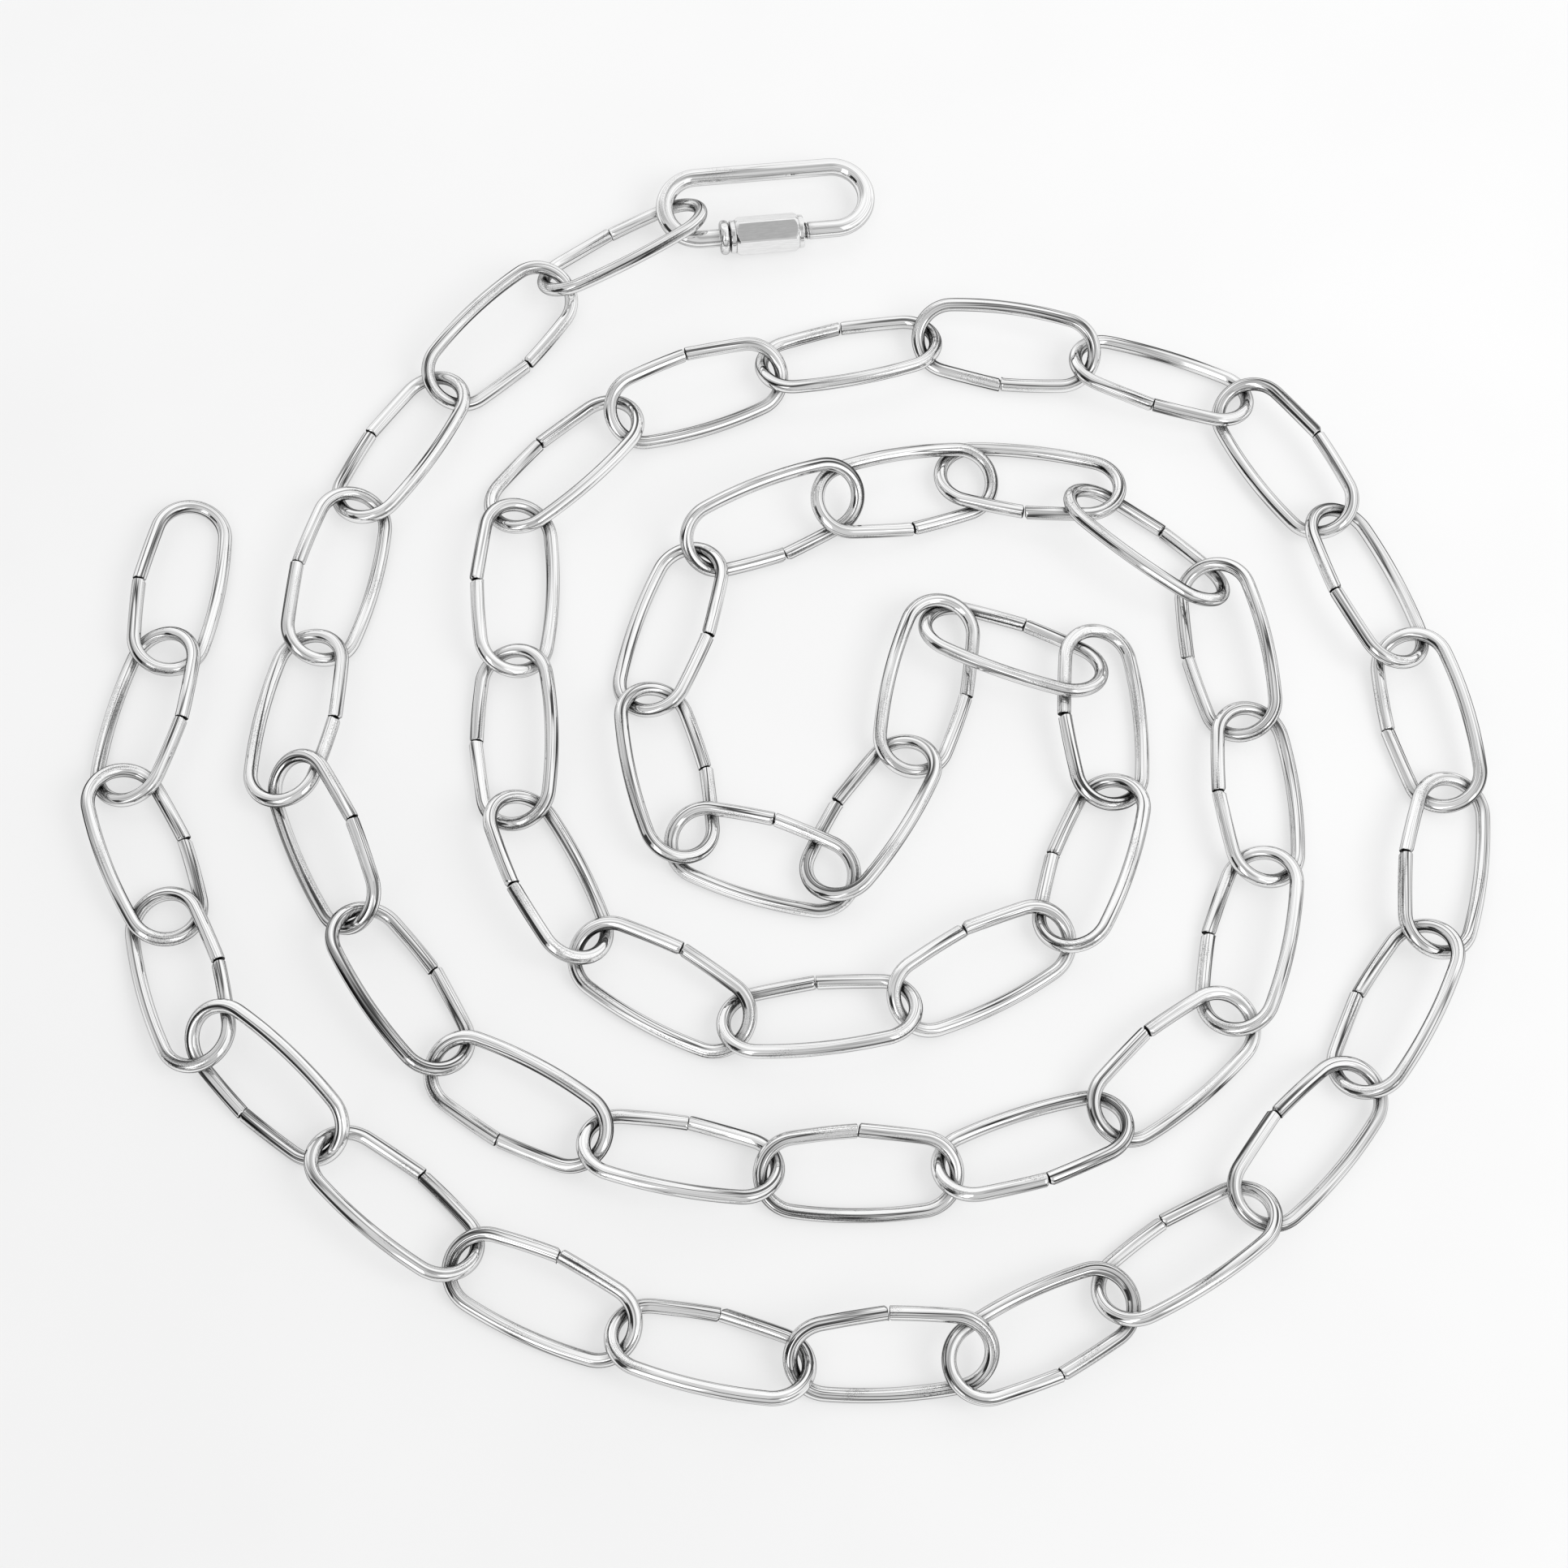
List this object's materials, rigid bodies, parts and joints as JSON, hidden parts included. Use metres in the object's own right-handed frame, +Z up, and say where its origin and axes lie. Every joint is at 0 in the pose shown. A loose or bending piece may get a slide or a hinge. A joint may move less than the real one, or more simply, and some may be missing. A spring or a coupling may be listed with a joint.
{
  "type": "steel chain",
  "caption": "Length of bright steel chain with long oval links, laid flat in a double spiral, with a screw quick link on one end.",
  "frame": {"origin": "middle of the chain's box, on the floor it lies on", "axes": "+X to the right in the picture, +Y away from the camera, +Z up"},
  "size_m": [0.3038, 0.2916, 0.0145],
  "materials": {
    "chain_steel": "bright drawn wire, polished",
    "quick_link_steel": "bright drawn wire, polished",
    "nut_steel": "bright, smooth flats"
  },
  "bodies": {
    "chain": {"link_01": "chain_steel", "link_02": "chain_steel", "link_03": "chain_steel", "link_04": "chain_steel", "link_05": "chain_steel", "link_06": "chain_steel", "link_07": "chain_steel", "link_08": "chain_steel", "link_09": "chain_steel", "link_10": "chain_steel", "link_11": "chain_steel", "link_12": "chain_steel", "link_13": "chain_steel", "link_14": "chain_steel", "link_15": "chain_steel", "link_16": "chain_steel", "link_17": "chain_steel", "link_18": "chain_steel", "link_19": "chain_steel", "link_20": "chain_steel", "link_21": "chain_steel", "link_22": "chain_steel", "link_23": "chain_steel", "link_24": "chain_steel", "link_25": "chain_steel", "link_26": "chain_steel", "link_27": "chain_steel", "link_28": "chain_steel", "link_29": "chain_steel", "link_30": "chain_steel", "link_31": "chain_steel", "link_32": "chain_steel", "link_33": "chain_steel", "link_34": "chain_steel", "link_35": "chain_steel", "link_36": "chain_steel", "link_37": "chain_steel", "link_38": "chain_steel", "link_39": "chain_steel", "link_40": "chain_steel", "link_41": "chain_steel", "link_42": "chain_steel", "link_43": "chain_steel", "link_44": "chain_steel", "link_45": "chain_steel", "link_46": "chain_steel", "link_47": "chain_steel", "link_48": "chain_steel", "link_49": "chain_steel", "link_50": "chain_steel", "link_51": "chain_steel", "link_52": "chain_steel", "link_53": "chain_steel", "link_54": "chain_steel", "link_55": "chain_steel", "quick_link_body": "quick_link_steel"},
    "gate_nut": {"quick_link_nut": "nut_steel"}
  },
  "joints": [
    {"name": "nut_slide", "type": "slide", "parent": "chain", "child": "gate_nut", "axis": [0.9912, 0.1239, -0.0463], "range_m": [0, 0.007]}
  ]
}
